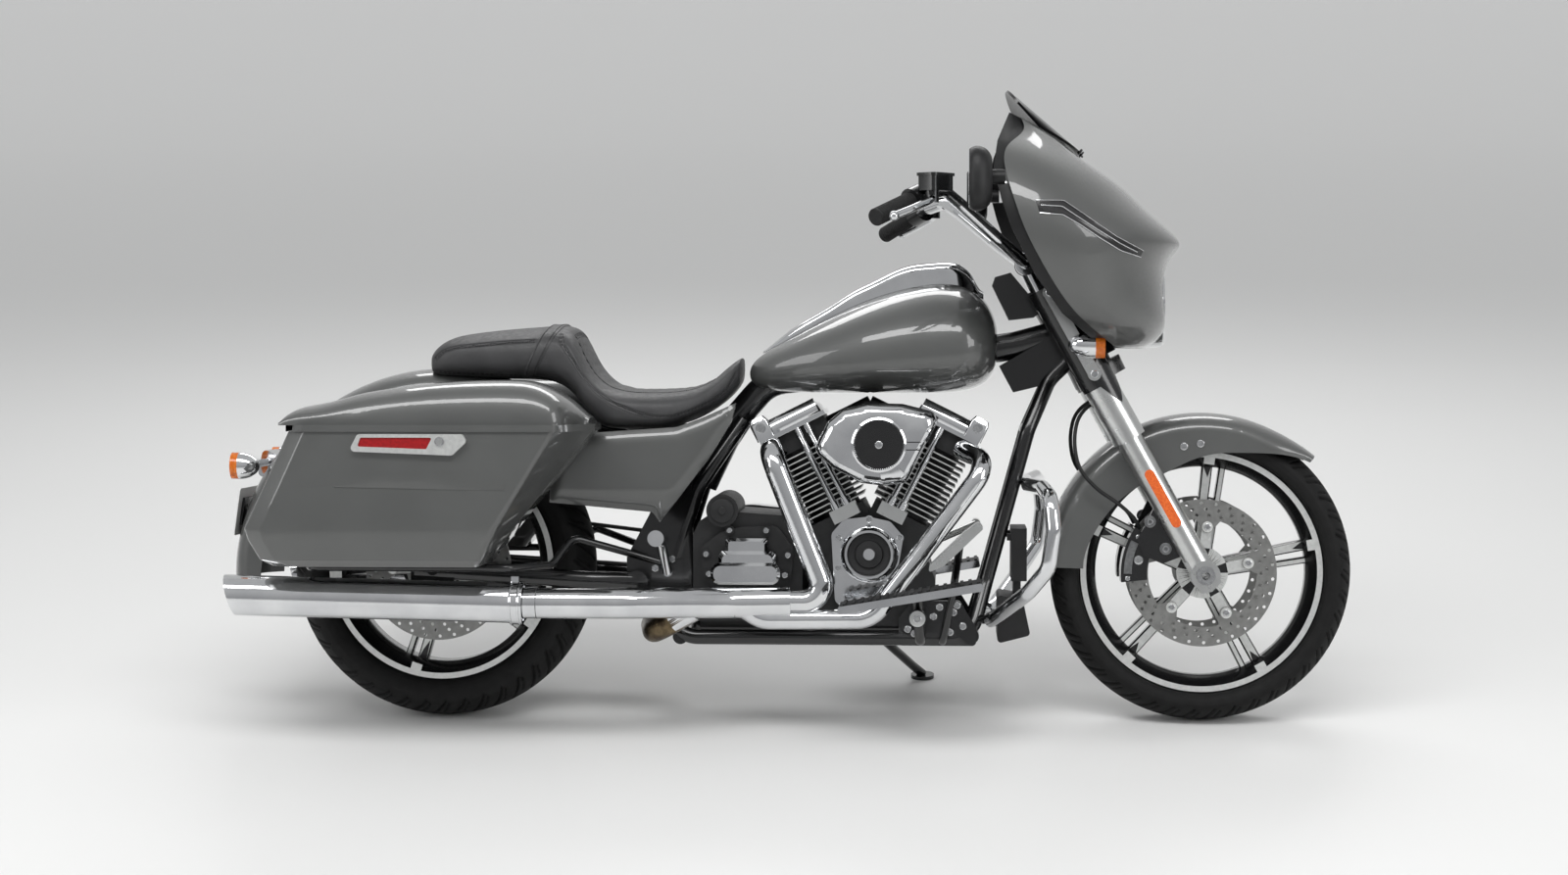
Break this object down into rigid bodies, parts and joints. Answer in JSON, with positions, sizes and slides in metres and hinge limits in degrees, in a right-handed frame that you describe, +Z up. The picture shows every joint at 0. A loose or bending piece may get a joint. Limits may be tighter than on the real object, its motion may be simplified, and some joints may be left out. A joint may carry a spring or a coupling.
{
  "type": "touring cruiser motorcycle",
  "caption": "Touring cruiser motorcycle with a fork-mounted fairing, hinged-lid saddlebags and an air-cooled V-twin engine, leaning on its side stand",
  "frame": {"origin": "on the floor, below the middle of the bounding box of the bike as it leans on its stand", "axes": "+X forward along the bike, +Y to its left, +Z up from the floor; the bike leans 10 degrees to +Y"},
  "size_m": [2.3969, 1.0156, 1.3326],
  "materials": {
    "front_tyre": "as built",
    "front_wheel": "as built",
    "front_discs": "as built",
    "rear_tyre": "as built",
    "rear_wheel": "as built",
    "rear_disc_and_pulley": "as built",
    "drive_belt": "as built",
    "fork_legs": "as built",
    "front_axle": "as built",
    "triple_clamps": "as built",
    "front_fender": "as built",
    "outer_fairing": "as built",
    "inner_fairing": "as built",
    "windshield": "as built",
    "front_lamps": "as built",
    "handlebar": "as built",
    "hand_controls": "as built",
    "mirrors": "as built",
    "front_calipers": "as built",
    "brake_hoses": "as built",
    "frame": "as built",
    "swingarm": "as built",
    "rear_shocks": "as built",
    "cylinders": "as built",
    "rocker_covers": "as built",
    "engine_case": "as built",
    "transmission": "as built",
    "engine_covers": "as built",
    "pushrod_tubes": "as built",
    "air_cleaner": "as built",
    "exhaust_pipes": "as built",
    "silencers": "as built",
    "fuel_tank": "as built",
    "tank_console": "as built",
    "fuel_door": "as built",
    "seat": "as built",
    "rear_fender": "as built",
    "rear_lamps": "as built",
    "saddlebag_right": "as built",
    "saddlebag_left": "as built",
    "lid_right": "as built",
    "lid_left": "as built",
    "side_covers": "as built",
    "engine_guard": "as built",
    "footboards": "as built",
    "foot_controls": "as built",
    "front_panel": "as built",
    "rear_caliper": "as built",
    "side_stand": "as built"
  },
  "bodies": {
    "chassis": {"frame": "frame", "swingarm": "swingarm", "rear_shocks": "rear_shocks", "cylinders": "cylinders", "rocker_covers": "rocker_covers", "engine_case": "engine_case", "transmission": "transmission", "engine_covers": "engine_covers", "pushrod_tubes": "pushrod_tubes", "air_cleaner": "air_cleaner", "exhaust_pipes": "exhaust_pipes", "silencers": "silencers", "fuel_tank": "fuel_tank", "tank_console": "tank_console", "seat": "seat", "rear_fender": "rear_fender", "rear_lamps": "rear_lamps", "saddlebag_right": "saddlebag_right", "saddlebag_left": "saddlebag_left", "side_covers": "side_covers", "engine_guard": "engine_guard", "footboards": "footboards", "foot_controls": "foot_controls", "front_panel": "front_panel", "rear_caliper": "rear_caliper", "drive_belt": "drive_belt"},
    "steering": {"fork_legs": "fork_legs", "front_axle": "front_axle", "triple_clamps": "triple_clamps", "front_fender": "front_fender", "outer_fairing": "outer_fairing", "inner_fairing": "inner_fairing", "windshield": "windshield", "front_lamps": "front_lamps", "handlebar": "handlebar", "hand_controls": "hand_controls", "mirrors": "mirrors", "front_calipers": "front_calipers", "brake_hoses": "brake_hoses"},
    "front_wheel_set": {"front_tyre": "front_tyre", "front_wheel": "front_wheel", "front_discs": "front_discs"},
    "rear_wheel_set": {"rear_tyre": "rear_tyre", "rear_wheel": "rear_wheel", "rear_disc_and_pulley": "rear_disc_and_pulley"},
    "lid_right_body": {"lid_right": "lid_right"},
    "lid_left_body": {"lid_left": "lid_left"},
    "fuel_door_body": {"fuel_door": "fuel_door"},
    "stand_body": {"side_stand": "side_stand"}
  },
  "joints": [
    {"name": "steering", "type": "hinge", "parent": "chassis", "child": "steering", "pos_m": [0.6403, 0.01186, 0.82921], "axis": [-0.4384, 0.1561, 0.8851], "range_deg": [-32, 32]},
    {"name": "front_axle", "type": "hinge", "parent": "steering", "child": "front_wheel_set", "pos_m": [0.88, -0.07861, 0.31613], "axis": [0, 0.9848, -0.1736], "continuous": true},
    {"name": "rear_axle", "type": "hinge", "parent": "chassis", "child": "rear_wheel_set", "pos_m": [-0.745, -0.07722, 0.32401], "axis": [0, 0.9848, -0.1736], "continuous": true},
    {"name": "side_stand", "type": "hinge", "parent": "chassis", "child": "stand_body", "pos_m": [0.185, 0.05205, 0.1357], "axis": [0.072, 0.6895, 0.7207], "range_deg": [0, 115.6]},
    {"name": "lid_right", "type": "hinge", "parent": "chassis", "child": "lid_right_body", "pos_m": [-0.745, -0.47843, 0.69765], "axis": [1, 0, 0], "range_deg": [0, 85]},
    {"name": "lid_left", "type": "hinge", "parent": "chassis", "child": "lid_left_body", "pos_m": [-0.745, 0.42759, 0.5379], "axis": [-1, 0, 0], "range_deg": [0, 85]},
    {"name": "fuel_door", "type": "hinge", "parent": "chassis", "child": "fuel_door_body", "pos_m": [0.3615, 0.03635, 0.96807], "axis": [0, 0.9848, -0.1736], "range_deg": [0, 95]}
  ]
}
